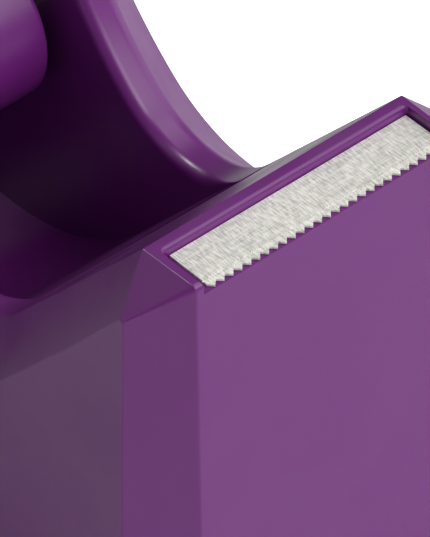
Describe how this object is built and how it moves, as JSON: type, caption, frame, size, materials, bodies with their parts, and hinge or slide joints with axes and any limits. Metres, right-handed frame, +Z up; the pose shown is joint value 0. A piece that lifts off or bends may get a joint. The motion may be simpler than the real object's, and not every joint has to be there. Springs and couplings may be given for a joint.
{
  "type": "desk tape dispenser",
  "caption": "Weighted desk tape dispenser: bevelled moulded housing, toothed steel cutter on a front tower, and a spinning lift-out hub for a small-core tape roll.",
  "frame": {"origin": "middle of the footprint, on the desk", "axes": "+Z up, +Y from the cutter tower towards the back, +X across the width, along the hub's axle"},
  "size_m": [0.0592, 0.124, 0.071],
  "materials": {
    "purple_plastic": "satin",
    "black_plastic": "matte",
    "foam_pad": "matte",
    "zinc_steel": "zinc plated",
    "spring_steel": "blackened",
    "axle_steel": "ground",
    "washer_nylon": "matte",
    "cast_weight": "as cast",
    "blade_steel": "brushed",
    "adhesive_strip": "matte"
  },
  "bodies": {
    "housing": {"body_shell": "purple_plastic", "bottom_cover": "black_plastic", "base_pad": "foam_pad", "cover_screws": "zinc_steel", "front_weight": "cast_weight", "rear_weight": "cast_weight", "front_weight_pad": "foam_pad", "rear_weight_pad": "foam_pad", "cutter_blade": "blade_steel", "blade_adhesive": "adhesive_strip"},
    "axle": {"hub_axle": "axle_steel", "axle_washer_left": "washer_nylon", "axle_washer_right": "washer_nylon", "axle_clip_left": "spring_steel", "axle_clip_right": "spring_steel"},
    "hub": {"hub_drum": "purple_plastic", "hub_end_cap": "purple_plastic"}
  },
  "joints": [
    {"name": "hub_lift", "type": "slide", "parent": "housing", "child": "axle", "axis": [0, 0, 1], "range_m": [0, 0.046]},
    {"name": "hub_spin", "type": "hinge", "parent": "axle", "child": "hub", "pos_m": [0, 0.02009, 0.0438], "axis": [1, 0, 0], "continuous": true}
  ]
}
